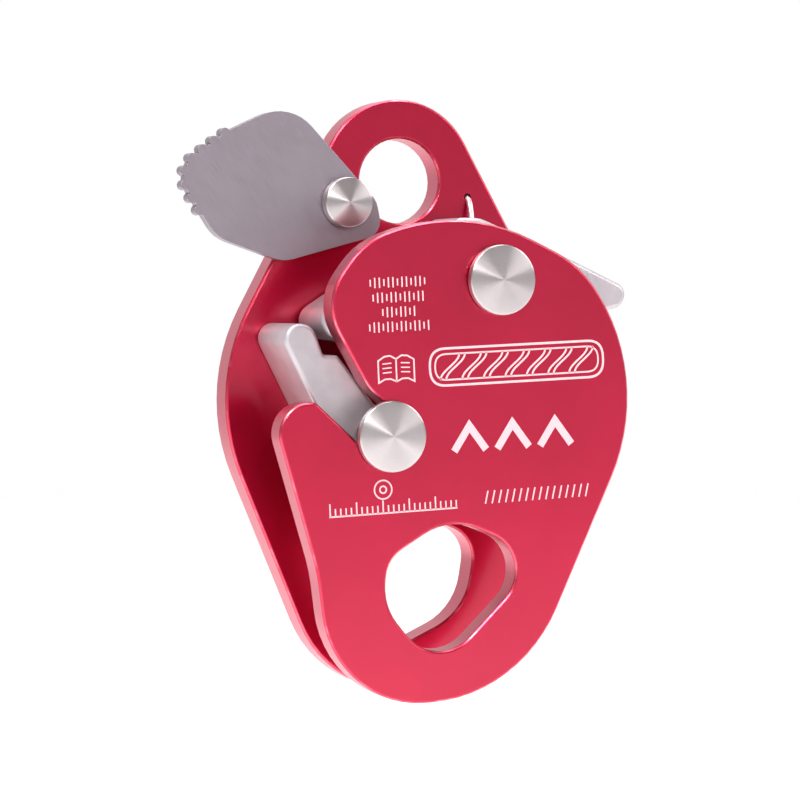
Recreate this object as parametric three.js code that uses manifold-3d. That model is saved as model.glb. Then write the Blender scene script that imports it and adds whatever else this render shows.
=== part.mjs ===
// Removable rope grab with two side plates, a sprung cam, an anvil block and a thumb lever.
//
// Millimetres, +Z up, +X to the right and +Y to the back, so that the front plate faces -Y.
// The origin is the centre of the connector hole, halfway between the two plates.

import * as THREE from 'three';
import { mergeVertices } from 'three/addons/utils/BufferGeometryUtils.js';
import Module from 'manifold-3d';

const wasm = await Module();
wasm.setup();

// ---------------------------------------------------------------- driving dimensions

const CHANNEL = 16;              // clear gap between the side plates, for 10 to 13 mm rope
const REAR_THICKNESS = 6;
const FRONT_THICKNESS = 5;
const PLATE_EDGE = 0.4;          // chamfer around both plates, outside their face outlines
const TOUCH = 0.2;               // gap left between faces that bear on each other
const RUNNING = 0.2;             // radial gap of everything that turns

const REAR_INNER = CHANNEL / 2;
const REAR_OUTER = REAR_INNER + REAR_THICKNESS;
const FRONT_INNER = -CHANNEL / 2;
const FRONT_OUTER = FRONT_INNER - FRONT_THICKNESS;

const PIVOT = { x: 9.4, z: 55 };         // axis of the front plate and the cam
const ANVIL_PIN = { x: -11.7, z: 27.3 };
const LEVER_PIN = { x: -13.5, z: 69.1 };
const EYE = { x: -1.6, z: 73.3, radius: 8.2, rim: 14.6 };
const SPRING_HOLE = { x: 12, z: 70.5, radius: 0.75 };
const ANVIL_SCREW = { x: -25.7, z: 42.6 };
const ANVIL_DOWEL = { x: -20.6, z: 36.2, radius: 1.5, front: 2.5 };

const PIN_RADIUS = 4;            // pivot pin and anvil pin
const PIN_HEAD = { radius: 6.3, height: 2 };
const NECK_RADIUS = 2.8;         // waist of the anvil pin that the front plate hooks over
const BUSH_WALL = 1.2;
const LEDGE = 2.8;               // plate left behind each pin's end, for its screw head
const PIN_SCREW = { radius: 2, head: 4.2, length: 10 };
const SMALL_SCREW = { radius: 1.4, head: 2.9, length: 8 };

const LEVER = { front: 4.9, thickness: 2.5, pinRadius: 2.5, headRadius: 4.55, headHeight: 2.7 };
const TOOTH = { radius: 0.95, pitch: 2.58, count: 8, first: 18.1 };
const CAM = { front: -6.7, back: 6.9 };
const SPRING = { wire: 0.55, radius: 7.4, turns: 2.5, pitch: 1.17, back: 6.25, exitAngle: 70 };
const SPRING_POCKET = { inner: 6.5, outer: 8.7, depth: 4.5 };

// ---------------------------------------------------------------- shape helpers

const radians = THREE.MathUtils.degToRad;

/** Points of an arc whose chords stay within 0.03 mm of the true curve. */
function arcPoints(x, z, radius, from, to) {
  const widest = Math.min(2 * Math.acos(1 - 0.03 / radius), radians(18));
  const steps = Math.max(1, Math.ceil(Math.abs(to - from) / widest));
  return Array.from({ length: steps + 1 }, (_, i) => {
    const angle = from + ((to - from) * i) / steps;
    return new THREE.Vector2(x + radius * Math.cos(angle), z + radius * Math.sin(angle));
  });
}

/** A closed outline from straight sides, with each corner [x, z, radius] rounded by an arc. */
function roundedOutline(corners) {
  const points = [];
  corners.forEach(([x, z, radius], i) => {
    const corner = new THREE.Vector2(x, z);
    const before = corners.at(i - 1);
    const after = corners[(i + 1) % corners.length];
    const toBefore = new THREE.Vector2(before[0], before[1]).sub(corner).normalize();
    const toAfter = new THREE.Vector2(after[0], after[1]).sub(corner).normalize();
    const half = Math.acos(THREE.MathUtils.clamp(toBefore.dot(toAfter), -1, 1)) / 2;
    const centre = toBefore.clone().add(toAfter).normalize();
    centre.multiplyScalar(radius / Math.sin(half)).add(corner);
    const tangent = radius / Math.tan(half);
    const start = toBefore.multiplyScalar(tangent).add(corner).sub(centre);
    const end = toAfter.multiplyScalar(tangent).add(corner).sub(centre);
    const sweep = Math.atan2(start.cross(end), start.dot(end));
    const from = start.angle();
    points.push(...arcPoints(centre.x, centre.y, radius, from, from + sweep));
  });
  return points.filter((point, i) => point.distanceTo(points.at(i - 1)) > 0.02);
}

/** A full circle as a closed ring of points. */
function circlePoints(x, z, radius) {
  return arcPoints(x, z, radius, 0, 2 * Math.PI).slice(0, -1);
}

/**
 * A flat plate between two Y planes, from an outline and hole outlines, with chamfered edges.
 * The walls stand at the outlines, or further into the open by spread.
 */
function plateGeometry(outline, holes, front, back, edge, spread = 0) {
  const shape = new THREE.Shape(outline);
  shape.holes = holes.map((points) => new THREE.Path(points));
  const geometry = new THREE.ExtrudeGeometry(shape, {
    depth: back - front - 2 * edge,
    bevelEnabled: edge > 0,
    bevelThickness: edge,
    bevelSize: edge,
    bevelOffset: spread - edge,
    bevelSegments: edge > 0.7 ? 2 : 1,
  });
  return geometry.rotateX(Math.PI / 2).translate(0, back - edge, 0);
}

/** A turned piece about an axis along Y, from a profile of [radius, y] going round its section. */
function turnedGeometry(profile, segments = 40) {
  const points = profile.map(([radius, y]) => new THREE.Vector2(radius, y));
  return new THREE.LatheGeometry(points, segments);
}

/** A ring with a rectangular section between two radii and two Y planes. */
function ringGeometry(inner, outer, front, back, segments = 32) {
  const section = [[inner, front], [outer, front], [outer, back], [inner, back], [inner, front]];
  return turnedGeometry(section, segments);
}

/** A solid round bar along Y, used as a cutter. */
function barGeometry(radius, front, back, segments = 40) {
  return turnedGeometry([[0, front], [radius, front], [radius, back], [0, back]], segments);
}

/** A spring washer: a thin ring with waves, and crests at the two given Y planes. */
function waveWasherGeometry(inner, outer, front, back, sheet) {
  const middle = (front + back) / 2;
  const swing = (back - front - sheet) / 2;
  const geometry = ringGeometry(inner, outer, middle - sheet / 2, middle + sheet / 2);
  const places = geometry.attributes.position;
  for (let i = 0; i < places.count; i += 1) {
    const angle = Math.atan2(places.getZ(i), places.getX(i));
    places.setY(i, places.getY(i) + swing * Math.cos(3 * angle));
  }
  return geometry;
}

function toSolid(geometry) {
  const bare = geometry.clone().deleteAttribute('normal').deleteAttribute('uv');
  const merged = mergeVertices(bare, 1e-4);
  const triangles = [];
  for (let i = 0; i < merged.index.count; i += 3) {
    const [a, b, c] = merged.index.array.slice(i, i + 3);
    if (a !== b && b !== c && c !== a) triangles.push(a, b, c);
  }
  return new wasm.Manifold(new wasm.Mesh({
    numProp: 3,
    vertProperties: merged.attributes.position.array,
    triVerts: new Uint32Array(triangles),
  }));
}

function toGeometry(solid) {
  const mesh = solid.getMesh();
  const geometry = new THREE.BufferGeometry();
  geometry.setAttribute('position', new THREE.BufferAttribute(mesh.vertProperties, 3));
  geometry.setIndex(new THREE.BufferAttribute(mesh.triVerts, 1));
  geometry.computeVertexNormals();
  return geometry;
}

/** Cuts every cutter out of a geometry. */
function cut(geometry, cutters) {
  return toGeometry(cutters.reduce((solid, cutter) => solid.subtract(toSolid(cutter)), toSolid(geometry)));
}

/** Moves a piece that was turned about the Y axis onto a pin's axis. */
function at(place, geometry) {
  return geometry.translate(place.x, 0, place.z);
}

// ---------------------------------------------------------------- materials

const material = {
  red: new THREE.MeshStandardMaterial({ color: 0xc22245, roughness: 0.38, metalness: 0.75 }),
  steel: new THREE.MeshStandardMaterial({ color: 0xd9d5d3, roughness: 0.28, metalness: 1 }),
  castSteel: new THREE.MeshStandardMaterial({ color: 0xbdb6ba, roughness: 0.5, metalness: 0.9 }),
  brushedSteel: new THREE.MeshStandardMaterial({ color: 0x968c94, roughness: 0.45, metalness: 0.9 }),
  springSteel: new THREE.MeshStandardMaterial({ color: 0xb9b4b2, roughness: 0.3, metalness: 1 }),
  bronze: new THREE.MeshStandardMaterial({ color: 0xa9824d, roughness: 0.45, metalness: 0.9 }),
};

const model = new THREE.Group();

function add(name, geometry, finish) {
  const mesh = new THREE.Mesh(geometry, finish);
  mesh.name = name;
  model.add(mesh);
}

// ---------------------------------------------------------------- side plates

/** The connector hole, three-cornered with wide round corners, and fuller in the rear plate. */
function connectorHole(lowerCorners) {
  return roundedOutline([
    [-0.2, 13.1, 11.7],
    [-12.4, 5.7, 6.7],
    [-13.1, -2.9, 10.5],
    ...lowerCorners,
  ]);
}

/** The clearance hole and countersink that a screw needs through the rear plate. */
function countersink(screw) {
  const hole = screw.radius + TOUCH;
  const depth = screw.head - screw.radius;
  return turnedGeometry([
    [0, REAR_INNER - 1], [hole, REAR_INNER - 1], [hole, REAR_OUTER - depth - TOUCH],
    [screw.head + 2 * TOUCH, REAR_OUTER], [screw.head + 2 * TOUCH, REAR_OUTER + 1],
    [0, REAR_OUTER + 1],
  ], 32);
}

/** A countersunk screw with a hexagon socket, its head flush with the rear plate's back. */
function countersunkScrew(screw) {
  const top = REAR_OUTER - 0.1;
  const body = turnedGeometry([
    [0, top - screw.length], [screw.radius - 0.3, top - screw.length],
    [screw.radius, top - screw.length + 0.4],
    [screw.radius, top - (screw.head - screw.radius)], [screw.head, top], [0, top],
  ], 32);
  const socket = { radius: screw.head * 0.42, depth: screw.head * 0.4 };
  return cut(body, [barGeometry(socket.radius, top - socket.depth, top + 1, 6)]);
}

/** The fixed plate, with the eye at the top and a bulge that guards the rope on the left. */
function rearPlate() {
  const outline = roundedOutline([
    [-10.4, 87.9, EYE.rim],
    [-38.6, 35.0, 35],
    [-15.4, -20.4, 21],
    [12.4, -20.4, 20],
    [38.0, 34.8, 30],
    [22.5, 60.2, 10],
    [6.9, 87.9, EYE.rim],
  ]);
  const holes = [
    circlePoints(EYE.x, EYE.z, EYE.radius),
    connectorHole([[-4.0, -14.2, 6], [11.9, -6.9, 12], [14.2, 7.3, 6.5]]),
  ];
  const plate = plateGeometry(outline, holes, REAR_INNER, REAR_OUTER, PLATE_EDGE, PLATE_EDGE);
  const socket = (place, radius) =>
    at(place, barGeometry(radius + TOUCH, REAR_INNER - 1, REAR_OUTER - LEDGE));
  return cut(plate, [
    socket(PIVOT, PIN_RADIUS),
    socket(ANVIL_PIN, PIN_RADIUS),
    socket(LEVER_PIN, LEVER.pinRadius),
    at(PIVOT, countersink(PIN_SCREW)),
    at(ANVIL_PIN, countersink(PIN_SCREW)),
    at(ANVIL_SCREW, countersink(SMALL_SCREW)),
    at(LEVER_PIN, countersink(SMALL_SCREW)),
    at(ANVIL_DOWEL, barGeometry(ANVIL_DOWEL.radius + TOUCH, REAR_INNER - 1, REAR_OUTER + 1, 24)),
    at(SPRING_HOLE, barGeometry(SPRING_HOLE.radius, REAR_INNER - 1, REAR_OUTER + 1, 16)),
  ]);
}

/** The plate that swings open: a lobe around the pivot and a prong, with a hook notch between. */
function frontPlate() {
  const outline = roundedOutline([
    [-33.7, 33.2, 5.2],
    [-24.9, 3.6, 30],
    [-21.8, -20.5, 18.8],
    [13.5, -19.6, 27.4],
    [39.5, 36.3, 33.7],
    [25.5, 57.4, 21.3],
    [2.1, 68.3, 36],
    [-16.5, 61.2, 14.7],
    [-23.9, 51.0, 9.2],
    [-15.5, 36.2, 8],
    [-6.1, 27.7, 3.4],
    [-11.7, 20.4, 4.2],
    [-25.7, 33.1, 0.9],
  ]);
  const holes = [
    circlePoints(PIVOT.x, PIVOT.z, PIN_RADIUS + RUNNING + BUSH_WALL + TOUCH + PLATE_EDGE),
    connectorHole([[-2.7, -15.8, 8.6], [19.0, 5.3, 7.5]]),
  ];
  return plateGeometry(outline, holes, FRONT_OUTER, FRONT_INNER, PLATE_EDGE, PLATE_EDGE);
}

add('rear_plate', rearPlate(), material.red);
add('front_plate', frontPlate(), material.red);

// ---------------------------------------------------------------- pivot stack, front to back

/** A headed pin. Each shank stretch is [radius, Y where it ends], and its end takes a screw. */
function headedPin(headFront, headRadius, headHeight, stretches, screw) {
  const chamfer = 0.35;
  const profile = [
    [0, headFront],
    [headRadius - chamfer, headFront],
    [headRadius, headFront + chamfer],
    [headRadius, headFront + headHeight],
  ];
  let y = headFront + headHeight;
  for (const [radius, end] of stretches) {
    profile.push([radius, y], [radius, end]);
    y = end;
  }
  const thread = screw.radius + TOUCH;
  const floor = REAR_OUTER - screw.length - 1;
  profile.push([thread, y], [thread, floor], [0, floor]);
  return turnedGeometry(profile);
}

const headFront = FRONT_OUTER - 0.3 - PIN_HEAD.height;
const pinEnd = REAR_OUTER - LEDGE - TOUCH;
const bushInner = PIN_RADIUS + RUNNING;
const bushOuter = bushInner + BUSH_WALL;
const frontWasher = { radius: 8.5, front: CAM.front - 0.55, back: CAM.front - 0.15 };
const rearWasher = { radius: 9.4, front: CAM.back + TOUCH, back: REAR_INNER - 0.25 };

add('pivot_pin', at(PIVOT, headedPin(headFront, PIN_HEAD.radius, PIN_HEAD.height,
  [[PIN_RADIUS, pinEnd]], PIN_SCREW)), material.steel);
add('pivot_pin_screw', at(PIVOT, countersunkScrew(PIN_SCREW)), material.steel);
add('front_plate_bush', at(PIVOT, ringGeometry(bushInner, bushOuter,
  FRONT_OUTER + 0.1, FRONT_INNER - 0.1)), material.bronze);
add('pivot_wave_washer', at(PIVOT, waveWasherGeometry(bushInner, 7.5,
  FRONT_INNER + 0.1, frontWasher.front - 0.1, 0.25)), material.springSteel);
add('cam_front_washer', at(PIVOT, ringGeometry(bushInner, frontWasher.radius,
  frontWasher.front, frontWasher.back)), material.bronze);
add('cam_rear_washer', at(PIVOT, ringGeometry(bushInner, rearWasher.radius,
  rearWasher.front, rearWasher.back)), material.bronze);
add('cam_bush', at(PIVOT, ringGeometry(bushInner, bushOuter, CAM.front + 0.1, CAM.back - 0.1)),
  material.bronze);

// ---------------------------------------------------------------- cam and its spring

/** The cam: a hub on the pivot, a blunt nose that grips the rope, and a thumb tail. */
function camBody() {
  const outline = roundedOutline([
    [8.6, 66.2, 4.5],
    [4.5, 66.3, 2],
    [1.6, 64.2, 3],
    [-6, 56.4, 5],
    [-15.4, 53.6, 4],
    [-27.8, 45.7, 3.2],
    [-8, 42.8, 14],
    [12, 42.6, 8],
    [20, 46.6, 8],
    [36.8, 50.1, 1.8],
    [38.2, 53.6, 2.2],
    [26.5, 58.9, 40],
  ]);
  const boreRadius = bushOuter + TOUCH;
  const body = plateGeometry(outline, [], CAM.front, CAM.back, 0.6);
  const pocketFloor = CAM.back - SPRING_POCKET.depth;
  const pocket = ringGeometry(SPRING_POCKET.inner, SPRING_POCKET.outer, pocketFloor, CAM.back + 1);
  const legSlotOutline = [
    ...arcPoints(0, 0, SPRING.radius + 0.2, radians(60), radians(102)),
    ...arcPoints(0, 0, 13, radians(102), radians(60)),
  ];
  const legSlot = plateGeometry(legSlotOutline, [], CAM.back - 1.5, CAM.back + 1, 0);
  const legHole = barGeometry(SPRING.wire + 0.5, -1, pocketFloor + 1, 16);
  const inner = springPoint(0);
  return cut(body, [
    at(PIVOT, barGeometry(boreRadius, CAM.front - 1, CAM.back + 1)),
    at(PIVOT, pocket),
    at(PIVOT, legSlot),
    at({ x: inner.x, z: inner.z }, legHole),
  ]);
}

/** A point of the spring's coil, with 0 at its front end and 1 at its back end. */
function springPoint(share) {
  const angle = radians(SPRING.exitAngle) - (1 - share) * SPRING.turns * 2 * Math.PI;
  const y = SPRING.back - (1 - share) * SPRING.turns * SPRING.pitch;
  return new THREE.Vector3(
    PIVOT.x + SPRING.radius * Math.cos(angle),
    y,
    PIVOT.z + SPRING.radius * Math.sin(angle),
  );
}

/** The torsion spring: a leg in the cam, the coil, and a leg hooked into the rear plate. */
function camSpring() {
  const coilSteps = 44;
  const coil = Array.from({ length: coilSteps + 1 }, (_, i) => springPoint(i / coilSteps));
  const start = coil[0];
  const bend = 0.8;
  const points = [
    new THREE.Vector3(start.x, start.y - 3.4, start.z),
    new THREE.Vector3(start.x, start.y - 2, start.z),
    new THREE.Vector3(start.x, start.y - bend, start.z),
    ...coil.slice(1),
    new THREE.Vector3(SPRING_HOLE.x, SPRING.back, PIVOT.z + SPRING.radius + 1),
    new THREE.Vector3(SPRING_HOLE.x, SPRING.back, SPRING_HOLE.z - 4),
    new THREE.Vector3(SPRING_HOLE.x, REAR_INNER - bend, SPRING_HOLE.z - bend),
    new THREE.Vector3(SPRING_HOLE.x, REAR_INNER, SPRING_HOLE.z),
    new THREE.Vector3(SPRING_HOLE.x, REAR_OUTER - 2, SPRING_HOLE.z),
  ];
  const path = new THREE.CatmullRomCurve3(points, false, 'centripetal');
  const sides = 8;
  const section = new THREE.Shape(Array.from({ length: sides }, (_, i) => {
    const angle = (2 * Math.PI * i) / sides;
    return new THREE.Vector2(SPRING.wire * Math.cos(angle), SPRING.wire * Math.sin(angle));
  }));
  return new THREE.ExtrudeGeometry(section, { steps: 72, extrudePath: path });
}

add('cam', camBody(), material.castSteel);
add('cam_spring', camSpring(), material.springSteel);

// ---------------------------------------------------------------- anvil and its fixings

/** The fixed block that the rope runs against, with a hooked head and a foot around its pin. */
function anvilBody() {
  const outline = roundedOutline([
    [-31.7, 48.1, 2.8],
    [-24.1, 46.9, 2.8],
    [-22.1, 41.7, 0.7],
    [-19.4, 41.6, 0.9],
    [-4.2, 22.4, 4],
    [-10.6, 16.4, 4.5],
    [-18.6, 22.4, 5],
  ]);
  const front = FRONT_INNER + 0.3;
  const back = REAR_INNER - TOUCH;
  const screwFloor = REAR_OUTER - SMALL_SCREW.length - 1;
  const body = plateGeometry(outline, [], front, back, 0.8);
  return cut(body, [
    at(ANVIL_PIN, barGeometry(PIN_RADIUS + TOUCH, front - 1, back + 1)),
    at(ANVIL_SCREW, barGeometry(SMALL_SCREW.radius + TOUCH, screwFloor, back + 1, 24)),
    at(ANVIL_DOWEL, barGeometry(ANVIL_DOWEL.radius + TOUCH, ANVIL_DOWEL.front - 0.5, back + 1, 24)),
  ]);
}

add('anvil', anvilBody(), material.castSteel);
add('anvil_pin', at(ANVIL_PIN, headedPin(headFront, PIN_HEAD.radius, PIN_HEAD.height,
  [[NECK_RADIUS, FRONT_INNER + 0.1], [PIN_RADIUS, pinEnd]], PIN_SCREW)), material.steel);
add('anvil_pin_screw', at(ANVIL_PIN, countersunkScrew(PIN_SCREW)), material.steel);
add('anvil_screw', at(ANVIL_SCREW, countersunkScrew(SMALL_SCREW)), material.steel);
add('anvil_dowel', at(ANVIL_DOWEL, barGeometry(ANVIL_DOWEL.radius, ANVIL_DOWEL.front,
  REAR_OUTER - 0.3, 24)), material.steel);

// ---------------------------------------------------------------- thumb lever

/** The egg-shaped lever plate, with a row of round teeth on its far end for the thumb. */
function leverBody() {
  const outline = roundedOutline([
    [-24.0, 87.2, 8.4],
    [-36.0, 81.6, 16],
    [-45.6, 74.5, 4.8],
    [-38.0, 62.6, 7],
    [-25.3, 58.3, 6],
    [-6.1, 63.5, 3.2],
    [-7.3, 69.5, 4],
  ]);
  const hole = circlePoints(LEVER_PIN.x, LEVER_PIN.z, leverBushOuter + TOUCH);
  let body = toSolid(plateGeometry(outline, [hole], LEVER.front, leverBack, 0.3));
  for (const tooth of leverTeeth(outline)) {
    const stud = barGeometry(TOOTH.radius, LEVER.front + 0.15, leverBack - 0.15, 14);
    body = body.add(toSolid(at(tooth, stud)));
  }
  return toGeometry(body);
}

/** The centres of the teeth, evenly spaced along the edge of the lever's far end. */
function leverTeeth(outline) {
  const edge = new THREE.Shape(outline);
  return Array.from({ length: TOOTH.count }, (_, i) => {
    const point = edge.getPoint((TOOTH.first + i * TOOTH.pitch) / edge.getLength());
    return { x: point.x, z: point.y };
  });
}

const leverBack = LEVER.front + LEVER.thickness;
const leverBushInner = LEVER.pinRadius + RUNNING;
const leverBushOuter = 3.6;
const leverHeadFront = LEVER.front - 0.3 - LEVER.headHeight;

add('lock_lever', leverBody(), material.brushedSteel);
add('lever_bush', at(LEVER_PIN, ringGeometry(leverBushInner, leverBushOuter,
  LEVER.front + 0.1, leverBack - 0.1)), material.bronze);
add('lever_washer', at(LEVER_PIN, ringGeometry(leverBushInner, 4.2,
  leverBack + 0.1, REAR_INNER - 0.1)), material.springSteel);
add('lever_pin', at(LEVER_PIN, headedPin(leverHeadFront, LEVER.headRadius, LEVER.headHeight,
  [[LEVER.pinRadius, pinEnd]], SMALL_SCREW)), material.steel);
add('lever_pin_screw', at(LEVER_PIN, countersunkScrew(SMALL_SCREW)), material.steel);

export default model;
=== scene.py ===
import math

import bmesh
import bpy
from mathutils import Matrix, Vector


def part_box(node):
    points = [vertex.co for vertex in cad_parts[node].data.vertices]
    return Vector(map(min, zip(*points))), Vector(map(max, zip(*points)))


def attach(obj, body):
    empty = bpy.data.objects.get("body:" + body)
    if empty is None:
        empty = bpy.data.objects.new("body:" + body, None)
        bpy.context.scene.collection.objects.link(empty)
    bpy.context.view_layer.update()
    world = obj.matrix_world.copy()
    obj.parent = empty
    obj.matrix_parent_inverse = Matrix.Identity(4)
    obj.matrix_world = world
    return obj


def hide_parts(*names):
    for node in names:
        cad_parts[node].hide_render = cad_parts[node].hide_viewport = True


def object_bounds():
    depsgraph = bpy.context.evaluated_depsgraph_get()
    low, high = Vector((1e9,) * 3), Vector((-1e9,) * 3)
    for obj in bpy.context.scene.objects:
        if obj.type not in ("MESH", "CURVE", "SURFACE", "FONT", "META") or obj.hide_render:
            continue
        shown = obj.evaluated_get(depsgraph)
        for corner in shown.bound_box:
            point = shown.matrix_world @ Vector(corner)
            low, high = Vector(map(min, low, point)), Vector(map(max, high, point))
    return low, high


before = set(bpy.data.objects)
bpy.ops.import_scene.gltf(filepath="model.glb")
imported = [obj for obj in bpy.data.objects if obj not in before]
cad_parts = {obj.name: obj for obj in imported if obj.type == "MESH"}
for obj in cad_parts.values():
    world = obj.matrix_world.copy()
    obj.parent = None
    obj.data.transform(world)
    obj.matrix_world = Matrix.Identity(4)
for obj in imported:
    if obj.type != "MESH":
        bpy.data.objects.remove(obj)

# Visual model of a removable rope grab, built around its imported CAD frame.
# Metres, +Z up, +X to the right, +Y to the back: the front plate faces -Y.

MM = 0.001
WELD = 0.001 * MM          # vertices nearer than this are one vertex
cad_low, cad_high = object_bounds()


# ---------------------------------------------------------------- material graphs

class Graph:
    """A material's node tree around one Principled shader, whose sockets are set by name."""

    def __init__(self, name, **sockets):
        self.material = bpy.data.materials.new(name)
        self.material.use_nodes = True
        self.tree = self.material.node_tree
        self.shader = self.tree.nodes["Principled BSDF"]
        for socket, value in sockets.items():
            self.shader.inputs[socket.replace("_", " ")].default_value = value

    def link(self, output, target):
        self.tree.links.new(output, target)

    def node(self, kind, links=None, values=None, **settings):
        """A shader node with its linked inputs, its plain inputs and its own settings."""
        node = self.tree.nodes.new("ShaderNode" + kind)
        for key, value in settings.items():
            setattr(node, key, value)
        for socket, value in (values or {}).items():
            node.inputs[socket].default_value = value
        for socket, output in (links or {}).items():
            self.link(output, node.inputs[socket])
        return node

    def place(self):
        """The point on the piece, in its own frame, so that the grain rides with it."""
        return self.node("TexCoord").outputs["Object"]

    def noise(self, per_metre, stretch=(1, 1, 1), turn=(0, 0, 0), detail=2.0):
        """Noise with that many features per metre, drawn out along the turned axes by stretch."""
        turned = self.node("Mapping", {"Vector": self.place()}, {"Rotation": turn})
        scaled = self.node("Mapping", {"Vector": turned.outputs["Vector"]}, {"Scale": stretch})
        noise = self.node("TexNoise", {"Vector": scaled.outputs["Vector"]},
                          {"Scale": per_metre, "Detail": detail})
        return noise.outputs["Fac"]

    def spread(self, value, low, high, from_low=0.3, from_high=0.7):
        """The value's middle range stretched to run from low to high."""
        limits = {"From Min": from_low, "From Max": from_high, "To Min": low, "To Max": high}
        return self.node("MapRange", {"Value": value}, limits).outputs["Result"]

    def blend(self, share, first, second):
        """A colour between two, by a share from 0 to 1."""
        mix = self.node("Mix", {"Factor": share}, data_type="RGBA")
        for socket, colour in (("A", first), ("B", second)):
            inputs = [i for i in mix.inputs if i.name == socket and i.type == "RGBA"]
            if hasattr(colour, "is_output"):
                self.link(colour, inputs[0])
            else:
                inputs[0].default_value = (*colour, 1)
        return next(o for o in mix.outputs if o.type == "RGBA")

    def colour(self, output):
        self.link(output, self.shader.inputs["Base Color"])

    def roughness(self, output):
        self.link(output, self.shader.inputs["Roughness"])

    def bump(self, height, depth):
        """Relief of that depth in metres."""
        relief = self.node("Bump", {"Height": height}, {"Distance": depth, "Strength": 1.0})
        self.link(relief.outputs["Normal"], self.shader.inputs["Normal"])


RED = (0.545, 0.0065, 0.048)
RED_DEEP = (0.485, 0.0052, 0.040)
RED_WORN = (0.80, 0.40, 0.45)
# a lighter red for the chamfers than for the faces: a painted highlight along the edges
RED_CHAMFER_PAINTED_HIGHLIGHT = (0.72, 0.10, 0.16)
WALL_DARK = (0.43, 0.028, 0.068)
WALL_LIGHT = (0.55, 0.075, 0.125)
TURNED = ((0.54, 0.485, 0.49), (0.60, 0.54, 0.545))          # in pairs, dark then light
BRUSHED = ((0.268, 0.226, 0.260), (0.293, 0.250, 0.285))
BRUSH_LINE = (0.350, 0.305, 0.340)
LASERED = ((0.61, 0.385, 0.42), (0.71, 0.49, 0.52))


def anodised(name, red, deep, roughness, grain_depth, coat, wear=0.0):
    """Dyed anodised aluminium: an even satin grain, a faint cloudiness, and wear if asked for."""
    g = Graph(name, Metallic=1.0, Coat_Weight=coat, Coat_Roughness=0.16, Coat_IOR=1.55)
    cloud = g.spread(g.noise(55, detail=3), 0, 1)
    colour = g.blend(cloud, deep, red)
    if wear:
        rubbed = g.spread(g.noise(260, detail=5), 0, wear, 0.52, 0.75)
        colour = g.blend(rubbed, colour, RED_WORN)
    g.colour(colour)
    grain = g.noise(5200, detail=3)
    g.roughness(g.spread(grain, roughness - 0.04, roughness + 0.05))
    g.bump(grain, grain_depth)
    return g.material


def cut_edge(name):
    """The plates' machined walls: the same dye over a coarser, speckled grain."""
    g = Graph(name, Metallic=1.0, Coat_Weight=0.5, Coat_Roughness=0.34)
    speckle = g.noise(3200, detail=4)
    g.colour(g.blend(g.spread(speckle, 0, 1, 0.35, 0.65), WALL_DARK, WALL_LIGHT))
    g.roughness(g.spread(speckle, 0.34, 0.50))
    g.bump(speckle, 0.008 * MM)
    return g.material


def turned_steel(name, roughness):
    """Steel turned on a lathe: rings about the piece's own Y axis, with the light fanned out."""
    g = Graph(name, Metallic=1.0, Anisotropic=0.92, Anisotropic_Rotation=0.25)
    tangent = g.node("Tangent", direction_type="RADIAL", axis="Y").outputs["Tangent"]
    g.link(tangent, g.shader.inputs["Tangent"])
    flat = g.node("VectorMath", {0: g.place()}, {1: (1, 0, 1)}, operation="MULTIPLY")
    radius = g.node("VectorMath", {0: flat.outputs["Vector"]}, operation="LENGTH").outputs["Value"]
    noise = g.node("TexNoise", {"W": radius}, {"Scale": 9000, "Detail": 3}, noise_dimensions="1D")
    rings = noise.outputs["Fac"]
    g.colour(g.blend(g.spread(rings, 0, 1), *TURNED))
    g.roughness(g.spread(rings, roughness - 0.02, roughness + 0.02))
    g.bump(rings, 0.0005 * MM)
    return g.material


def cast_steel(name, dark, light, roughness):
    """Tumbled cast steel: a fine even grain with a soft mottle, dulled a little by its skin."""
    g = Graph(name, Metallic=0.82)
    g.colour(g.blend(g.spread(g.noise(300, detail=4), 0, 1), dark, light))
    grain = g.noise(4200, detail=3)
    g.roughness(g.spread(grain, roughness - 0.05, roughness + 0.06))
    g.bump(grain, 0.006 * MM)
    return g.material


def brushed_steel(name):
    """Grey brushed plate, its fine lines running down to the right across the face."""
    g = Graph(name, Metallic=1.0, Anisotropic=0.35)
    lines = g.noise(1, stretch=(9000, 9000, 260), turn=(0, math.radians(36), 0), detail=3)
    cloud = g.spread(g.noise(120, detail=3), 0, 1)
    g.colour(g.blend(g.spread(lines, 0, 0.55), g.blend(cloud, *BRUSHED), BRUSH_LINE))
    g.roughness(g.spread(lines, 0.40, 0.50))
    g.bump(lines, 0.004 * MM)
    return g.material


def drawn_metal(name, dark, light, roughness):
    """Plain machined or drawn metal with faint marks along Y."""
    g = Graph(name, Metallic=1.0)
    marks = g.noise(1, stretch=(5000, 600, 5000), detail=3)
    g.colour(g.blend(g.spread(marks, 0, 1), dark, light))
    g.roughness(g.spread(marks, roughness - 0.05, roughness + 0.06))
    g.bump(marks, 0.003 * MM)
    return g.material


def laser_mark(name):
    """Dye burnt away by a laser: pale, dry and very slightly speckled."""
    g = Graph(name, Metallic=0.0)
    speckle = g.noise(7000, detail=2)
    g.colour(g.blend(g.spread(speckle, 0, 1), *LASERED))
    g.roughness(g.spread(speckle, 0.5, 0.7))
    g.bump(speckle, 0.003 * MM)
    return g.material


face_red = anodised("anodised_face", RED, RED_DEEP, 0.34, 0.0025 * MM, 0.65)
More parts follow.
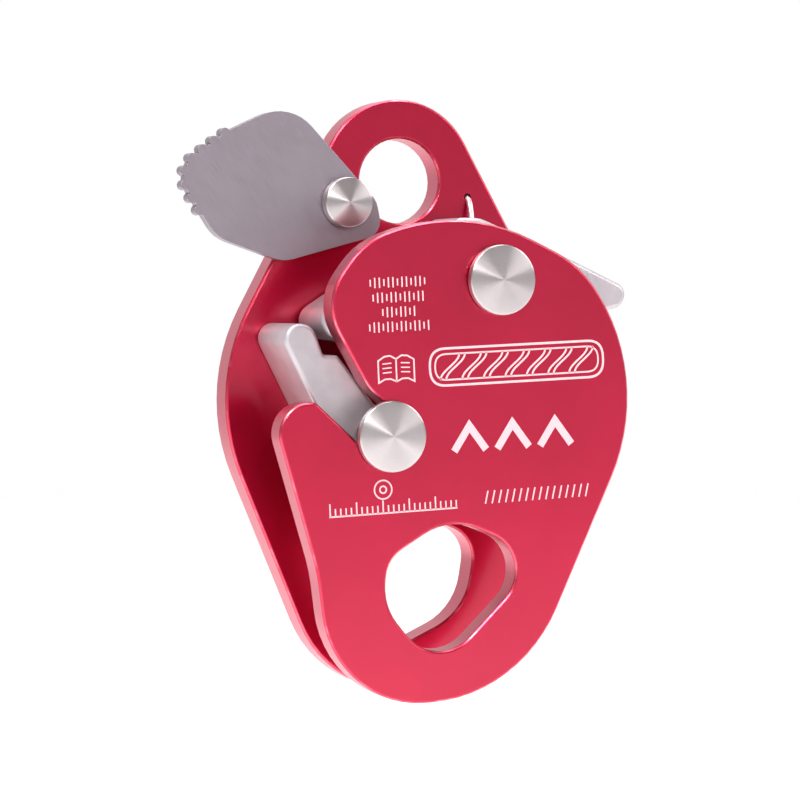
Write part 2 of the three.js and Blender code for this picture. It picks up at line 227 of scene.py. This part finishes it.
# The chamfers get a lighter red than the faces as a painted highlight, over real rubbed wear.
chamfer_highlight_and_wear = anodised("anodised_chamfer_highlight_and_wear", RED_CHAMFER_PAINTED_HIGHLIGHT, RED, 0.30, 0.001 * MM, 0.6, wear=0.55)
wall_red = cut_edge("anodised_wall")
bright_steel = turned_steel("turned_steel", 0.30)
block_steel = cast_steel("cast_steel", (0.46, 0.42, 0.445), (0.53, 0.485, 0.515), 0.46)
lever_steel = brushed_steel("brushed_lever")
spring_steel = drawn_metal("spring_steel", (0.66, 0.58, 0.60), (0.82, 0.74, 0.75), 0.34)
bronze = drawn_metal("bearing_bronze", (0.42, 0.26, 0.11), (0.58, 0.38, 0.18), 0.36)
marking = laser_mark("laser_mark")


# ---------------------------------------------------------------- mesh helpers

def new_piece(name, bm, materials):
    """A smooth-shaded object from a bmesh, which is used up."""
    mesh = bpy.data.meshes.new(name)
    bm.to_mesh(mesh)
    bm.free()
    for material in materials:
        mesh.materials.append(material)
    mesh.polygons.foreach_set("use_smooth", [True] * len(mesh.polygons))
    piece = bpy.data.objects.new(name, mesh)
    bpy.context.scene.collection.objects.link(piece)
    return piece


def weigh_normals(piece):
    """Bends the shading normals to the large faces, so that they stay flat beside a round."""
    modifier = piece.modifiers.new("weighted_normals", "WEIGHTED_NORMAL")
    modifier.weight = 100
    modifier.keep_sharp = True


FACE_ABOVE, WALL_BELOW = 0.97, 0.25   # how far a face's normal points along Y


def by_direction(face):
    """0 for a front or back face, 1 for a wall and 2 for a chamfer between them."""
    along = abs(face.normal.y)
    return 0 if along > FACE_ABOVE else 1 if along < WALL_BELOW else 2


def refine(node, name, body, materials, round_off, choose=None, segments=2, sharp=24, square=0):
    """
    Stands in for a CAD node: the same solid, its sharp edges rounded off by that much.
    Chamfers up to the size of square are first filled out to the front and back faces.
    """
    bm = bmesh.new()
    bm.from_mesh(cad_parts[node].data)
    bmesh.ops.remove_doubles(bm, verts=bm.verts, dist=WELD)
    front, back = min(v.co.y for v in bm.verts), max(v.co.y for v in bm.verts)
    for vertex in bm.verts:
        if vertex.co.y < front + square:
            vertex.co.y = front
        elif vertex.co.y > back - square:
            vertex.co.y = back
    bmesh.ops.dissolve_limit(bm, angle_limit=math.radians(1), verts=bm.verts, edges=bm.edges)
    bm.normal_update()
    if choose:
        for face in bm.faces:
            face.material_index = choose(face)
    edges = [e for e in bm.edges if len(e.link_faces) == 2
             and e.calc_face_angle(0) > math.radians(sharp)]
    bmesh.ops.bevel(bm, geom=edges, offset=round_off, offset_type="OFFSET", segments=segments,
                    profile=0.5, affect="EDGES", clamp_overlap=False)
    piece = new_piece(name, bm, materials)
    weigh_normals(piece)
    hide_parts(node)
    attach(piece, body)


def turn(node, name, body, profile, material, segments=144):
    """Stands in for a turned CAD node: a profile of (radius, y) spun about the node's axis."""
    low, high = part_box(node)
    axis = Vector(((low.x + high.x) / 2, 0, (low.z + high.z) / 2))
    bm = bmesh.new()
    angles = [2 * math.pi * i / segments for i in range(segments)]
    rings = []
    for radius, y in profile:
        around = angles if radius else angles[:1]
        rings.append([bm.verts.new((radius * math.cos(a), y, radius * math.sin(a)))
                      for a in around])
    for first, second in zip(rings, rings[1:]):
        for i in range(segments):
            j = (i + 1) % segments
            corners = [first[i % len(first)], first[j % len(first)],
                       second[j % len(second)], second[i % len(second)]]
            bm.faces.new(list(dict.fromkeys(corners)))
    bmesh.ops.recalc_face_normals(bm, faces=bm.faces)
    piece = new_piece(name, bm, [material])
    piece.data.set_sharp_from_angle(angle=math.radians(32))
    piece.location = axis
    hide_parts(node)
    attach(piece, body)


def rounded_rim(radius, y, size, steps=5):
    """The quarter-round from a flat face at y to a cylinder of that radius, as profile points."""
    turns = [math.pi / 2 * i / steps for i in range(steps + 1)]
    return [(radius - size + size * math.sin(t), y + size - size * math.cos(t)) for t in turns]


# ---------------------------------------------------------------- side plates

plate_finish = [face_red, wall_red, chamfer_highlight_and_wear]
refine("rear_plate", "rear_plate_body", "frame", plate_finish, 0.11 * MM, by_direction)
refine("front_plate", "front_plate_body", "side_plate", plate_finish, 0.11 * MM, by_direction)

# ---------------------------------------------------------------- pins and their screws

CROWN = 0.55 * MM          # how far a pin's face falls away from its centre to its rim
CROWN_POWER = 1.2          # 1 would be a cone, 2 a dome
CROWN_RINGS = (0, 0.04, 0.12, 0.3, 0.55, 0.8)   # as shares of the head's radius
RIM = 0.3 * MM             # the round at the edge of a pin's face
UNDERCUT = 0.1 * MM        # the bevel under a pin's head
NECK_END = -7.9 * MM       # where the anvil pin's neck, which the front plate hooks, ends
PINS = {                   # each head's height, then its shank's radii and where each ends
    "pivot_pin": (2.0 * MM, [(4.0 * MM, None)]),
    "anvil_pin": (2.0 * MM, [(2.8 * MM, NECK_END), (4.0 * MM, None)]),
    "lever_pin": (2.7 * MM, [(2.5 * MM, None)]),
}
for pin, (head_height, shank) in PINS.items():
    low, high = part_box(pin)
    head = (high.x - low.x) / 2
    profile = [(head * share, low.y + CROWN * share ** CROWN_POWER) for share in CROWN_RINGS]
    profile += rounded_rim(head, low.y + CROWN, RIM)
    start = low.y + head_height
    profile += [(head, start - UNDERCUT), (head - UNDERCUT, start)]
    for radius, end in shank:
        end = high.y if end is None else end
        profile += [(radius, start), (radius, end)]
        start = end
    profile += [(0, high.y)]
    turn(pin, pin + "_turned", "frame", profile, bright_steel)

for screw in ("pivot_pin_screw", "anvil_pin_screw", "anvil_screw", "lever_pin_screw"):
    refine(screw, screw + "_head", "frame", [bright_steel], 0.08 * MM, sharp=30)
refine("anvil_dowel", "anvil_dowel_pin", "frame", [bright_steel], 0.15 * MM, sharp=40)

# ---------------------------------------------------------------- cam, anvil and lever

refine("cam", "cam_casting", "cam", [block_steel], 0.27 * MM, segments=3)
refine("anvil", "anvil_casting", "frame", [block_steel], 0.18 * MM, segments=3)
refine("lock_lever", "lock_lever_plate", "lever", [lever_steel], 0.08 * MM, sharp=28,
       square=0.35 * MM)

# ---------------------------------------------------------------- spring, washers and bushes

WIRE_GROWTH = 0.06 * MM    # what smoothing takes off the wire's radius

bm = bmesh.new()
bm.from_mesh(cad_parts["cam_spring"].data)
bmesh.ops.remove_doubles(bm, verts=bm.verts, dist=WELD)
bmesh.ops.dissolve_limit(bm, angle_limit=math.radians(0.5), verts=bm.verts, edges=bm.edges)
wire = new_piece("cam_spring_wire", bm, [spring_steel])
wire.modifiers.new("round_wire", "SUBSURF").render_levels = 2
full = wire.modifiers.new("full_width", "DISPLACE")
full.strength = WIRE_GROWTH
full.mid_level = 0
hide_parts("cam_spring")
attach(wire, "frame")

for node, body, finish in (
    ("pivot_wave_washer", "frame", spring_steel),
    ("cam_front_washer", "frame", bronze),
    ("cam_rear_washer", "frame", bronze),
    ("cam_bush", "cam", bronze),
    ("front_plate_bush", "side_plate", bronze),
    ("lever_bush", "lever", bronze),
    ("lever_washer", "frame", spring_steel),
):
    refine(node, node + "_ring", body, [finish], 0.05 * MM, sharp=40)

# ---------------------------------------------------------------- laser marks

MARK_HEIGHT = 0.015 * MM   # a mark stands out of the plate by this and sinks in as far
MARK_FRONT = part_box("front_plate")[0].y - MARK_HEIGHT
MARK_BACK = MARK_FRONT + 2 * MARK_HEIGHT
TILT = math.radians(2.5)   # every mark is turned a little on the plate
SHARPEST = 0.35            # a line's outer corner reaches no further than width / 2 over this


class Marks:
    """Flat marks on the front plate, drawn in millimetres about one centre."""

    def __init__(self, name, x, z):
        self.name = name
        self.centre = Vector((x, z))
        self.bm = bmesh.new()

    def point(self, x, z, y):
        turned = Matrix.Rotation(TILT, 2) @ Vector((x, z)) + self.centre
        return self.bm.verts.new((turned.x * MM, y, turned.y * MM))

    def line(self, path, width, closed=False):
        """A line of even width along a path of points."""
        points = [Vector(p) for p in path]
        count = len(points)
        left, right = [], []
        for i, here in enumerate(points):
            before = points[i - 1] if closed or i else here
            after = points[(i + 1) % count] if closed or i < count - 1 else here
            into = (here - before).normalized() if here != before else (after - here).normalized()
            out = (after - here).normalized() if after != here else into
            across = (into.orthogonal() + out.orthogonal()).normalized()
            reach = width / 2 / max(SHARPEST, across.dot(into.orthogonal()))
            left.append(here + across * reach)
            right.append(here - across * reach)
        corners = [[self.point(p.x, p.y, y) for p in side]
                   for side, y in ((left, MARK_FRONT), (right, MARK_FRONT),
                                   (right, MARK_BACK), (left, MARK_BACK))]
        for i in range(count if closed else count - 1):
            j = (i + 1) % count
            for a, b in zip(corners, corners[1:] + corners[:1]):
                self.bm.faces.new([a[i], b[i], b[j], a[j]])
        if not closed:
            self.bm.faces.new([side[0] for side in corners][::-1])
            self.bm.faces.new([side[-1] for side in corners])

    def finish(self):
        """Makes the piece, which swings with the front plate."""
        bmesh.ops.recalc_face_normals(self.bm, faces=self.bm.faces)
        piece = new_piece(self.name, self.bm, [marking])
        piece.data.set_sharp_from_angle(angle=math.radians(30))
        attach(piece, "side_plate")


def circle(radius, steps=40):
    """A closed path around the centre."""
    angles = [2 * math.pi * i / steps for i in range(steps)]
    return [(radius * math.cos(a), radius * math.sin(a)) for a in angles]


def rounded(corners, radius, steps=8):
    """A closed path whose corners are rounded by short curves."""
    points = []
    for i, corner in enumerate(corners):
        here = Vector(corner)
        to_before = (Vector(corners[i - 1]) - here).normalized() * radius
        to_after = (Vector(corners[(i + 1) % len(corners)]) - here).normalized() * radius
        for step in range(steps + 1):
            t = step / steps
            point = here + to_before * (1 - t) ** 2 + to_after * t ** 2
            points.append((point.x, point.y))
    return points


def band(half_width, half_height, radius):
    """A closed path around a rounded box."""
    w, h = half_width, half_height
    return rounded([(-w, -h), (w, -h), (w, h), (-w, h)], radius)


# A piece of laid rope in outline: a long rounded band with leaning double strands.
STRAND_PITCH, STRAND_LEAN, STRAND_TOP = 4.2, 1.9, 2.3
STRAND_HEIGHTS = [-STRAND_TOP + 2 * STRAND_TOP * step / 10 for step in range(11)]
rope = Marks("mark_rope", 12.9, 40.1)
rope.line(band(17, 3.3, 3.0), 0.42, closed=True)
rope.line(band(16, STRAND_TOP, 2.2), 0.3, closed=True)
for i in range(7):
    for shift in (-0.55, 0.55):
        middle_x = (i - 3) * STRAND_PITCH + shift
        rope.line([(middle_x + STRAND_LEAN * math.sin(math.pi * z / (2 * STRAND_TOP)), z)
                   for z in STRAND_HEIGHTS], 0.34)
rope.finish()

# Three solid chevrons that point up the rope.
chevrons = Marks("mark_chevrons", 12.0, 27.3)
for x in (-8.4, 0, 8.4):
    chevrons.line([(x - 3.1, -2.4), (x, 2.0), (x + 3.1, -2.4)], 1.35)
chevrons.finish()

# An open book with ruled lines.
book = Marks("mark_book", -10.5, 39.3)
for side in (-1, 1):
    page = [(0, 1.7), (side * 1.1, 2.3), (side * 2.2, 2.2), (side * 3.4, 1.5),
            (side * 3.4, -2.4), (side * 2.2, -1.8), (side * 1.1, -1.8), (0, -2.3)]
    book.line(page, 0.28)
    for z in (-0.7, 0.1, 0.9):
        book.line([(side * 0.9, z + 0.1), (side * 2.6, z)], 0.22)
book.line([(0, 1.7), (0, -2.3)], 0.28)
book.finish()

# Rows of tick marks: how far above the centre each row is, and how many it holds.
TICK_ROWS = ((4.0, 13), (1.35, 12), (-1.25, 8), (-3.85, 14))
TICK_PITCH = 0.86
ticks = Marks("mark_tick_rows", -10.1, 50.6)
for z, count in TICK_ROWS:
    for i in range(count):
        x = (i - (count - 1) / 2) * TICK_PITCH
        tall = 0.9 if i % 3 else 0.6
        ticks.line([(x, z - tall), (x, z + tall)], 0.25)
ticks.finish()

# A rope's section, over a plain scale.
section = Marks("mark_rope_section", -13.0, 17.9)
section.line(circle(1.65), 0.26, closed=True)
section.line(circle(0.62, 24), 0.26, closed=True)
section.finish()

SCALE_FOOT = -1.1
scale = Marks("mark_scale", -11.0, 14.9)
scale.line([(-12.2, SCALE_FOOT), (12.2, SCALE_FOOT)], 0.28)
for i in range(25):
    top = 1.2 if i % 5 == 0 else 0.3
    scale.line([(i - 12, SCALE_FOOT), (i - 12, top)], 0.26)
scale.finish()

# A row of slanted strokes on the right.
STROKE_PITCH = 1.32
strokes = Marks("mark_slanted_strokes", 16.8, 16.5)
for i in range(16):
    x = (i - 7.5) * STROKE_PITCH
    strokes.line([(x - 0.3, -1.15), (x + 0.3, 1.15)], 0.27)
strokes.finish()


# ---------------------------------------------------------------- studio

FLOOR_DROP = 40 * MM       # the part hangs this far above the floor
FLOOR_RADIUS = 1.6
FADE_FROM, FADE_TO = 0.12, 0.75   # shares of the radius between which the floor fades out

floor_z = cad_low.z - FLOOR_DROP
bpy.ops.mesh.primitive_circle_add(vertices=96, radius=FLOOR_RADIUS, fill_type="NGON",
                                  location=(0, 0, floor_z))
floor = bpy.context.object
floor.name = "studio_floor"
paint = Graph("studio_floor", Base_Color=(0.96, 0.96, 0.96, 1), Roughness=0.9)
distance = paint.node("VectorMath", {0: paint.place()}, operation="LENGTH").outputs["Value"]
fade = paint.spread(distance, 0, 1, FLOOR_RADIUS * FADE_FROM, FLOOR_RADIUS * FADE_TO)
clear = paint.node("BsdfTransparent").outputs["BSDF"]
mix = paint.node("MixShader", {0: fade, 1: paint.shader.outputs["BSDF"], 2: clear})
paint.link(mix.outputs["Shader"], paint.tree.nodes["Material Output"].inputs["Surface"])
floor.data.materials.append(paint.material)

world = bpy.data.worlds.new("studio")
world.use_nodes = True
bpy.context.scene.world = world
tree = world.node_tree
background = tree.nodes["Background"]
direction = tree.nodes.new("ShaderNodeTexCoord").outputs["Generated"]
apart = tree.nodes.new("ShaderNodeSeparateXYZ")
tree.links.new(direction, apart.inputs["Vector"])


def world_range(value, from_low, from_high, low, high):
    """The value eased from low to high as it passes from one limit to the other."""
    node = tree.nodes.new("ShaderNodeMapRange")
    node.interpolation_type = "SMOOTHSTEP"
    for socket, number in (("From Min", from_low), ("From Max", from_high),
                           ("To Min", low), ("To Max", high)):
        node.inputs[socket].default_value = number
    tree.links.new(value, node.inputs["Value"])
    return node.outputs["Result"]


def world_math(operation, *values):
    """Arithmetic on node outputs and plain numbers."""
    node = tree.nodes.new("ShaderNodeMath")
    node.operation = operation
    for socket, value in zip(node.inputs, values):
        if hasattr(value, "is_output"):
            tree.links.new(value, socket)
        else:
            socket.default_value = value
    return node.outputs["Value"]


# Bright low down and behind, dimmer above the horizon in front, so that faces read as metal.
WORLD_DIM, WORLD_GAIN = 0.315, 0.66   # the dim part's strength, and what the bright part adds
low_bright = world_range(apart.outputs["Z"], -0.10, 0.16, 1.0, 0.0)
behind = world_range(apart.outputs["Y"], -0.35, 0.35, 0.0, 1.0)
strength = world_math("MAXIMUM", low_bright, behind)
strength = world_math("MULTIPLY_ADD", strength, WORLD_GAIN, WORLD_DIM)
seen = tree.nodes.new("ShaderNodeLightPath").outputs["Is Camera Ray"]
strength = world_math("MAXIMUM", strength, seen)
tree.links.new(strength, background.inputs["Strength"])
background.inputs["Color"].default_value = (1, 1, 1, 1)


def softbox(name, place, size, watts):
    """A square area light that faces the object's middle."""
    light = bpy.data.lights.new(name, "AREA")
    light.size = size
    light.energy = watts
    lamp = bpy.data.objects.new(name, light)
    lamp.location = place
    middle = (cad_low + cad_high) / 2
    lamp.rotation_euler = (middle - lamp.location).to_track_quat("-Z", "Y").to_euler()
    bpy.context.scene.collection.objects.link(lamp)


for name, place, size, watts in (
    ("key", (-0.45, -0.55, 0.75), 0.45, 9),
    ("fill", (0.75, -0.35, 0.45), 0.5, 4),
    ("glint", (-0.16, -0.70, 0.26), 0.05, 0.9),
    ("top", (0.1, 0.15, 1.1), 0.8, 10),
):
    softbox(name, Vector(place), size, watts)

# ---------------------------------------------------------------- camera

AZIMUTH, ELEVATION = math.radians(-21.5), math.radians(2.0)
DISTANCE = 0.516
LENS = 130                 # millimetres
AIM_OFFSET = Vector((-4.48, -7.92, -0.19)) * MM   # from the middle of the CAD box

camera_data = bpy.data.cameras.new("camera")
camera_data.lens = LENS
camera = bpy.data.objects.new("camera", camera_data)
towards_camera = Vector((math.sin(AZIMUTH) * math.cos(ELEVATION),
                         -math.cos(AZIMUTH) * math.cos(ELEVATION), math.sin(ELEVATION)))
camera.location = (cad_low + cad_high) / 2 + AIM_OFFSET + towards_camera * DISTANCE
camera.rotation_euler = (-towards_camera).to_track_quat("-Z", "Y").to_euler()
bpy.context.scene.collection.objects.link(camera)
bpy.context.scene.camera = camera
bpy.context.scene.view_settings.view_transform = "Standard"
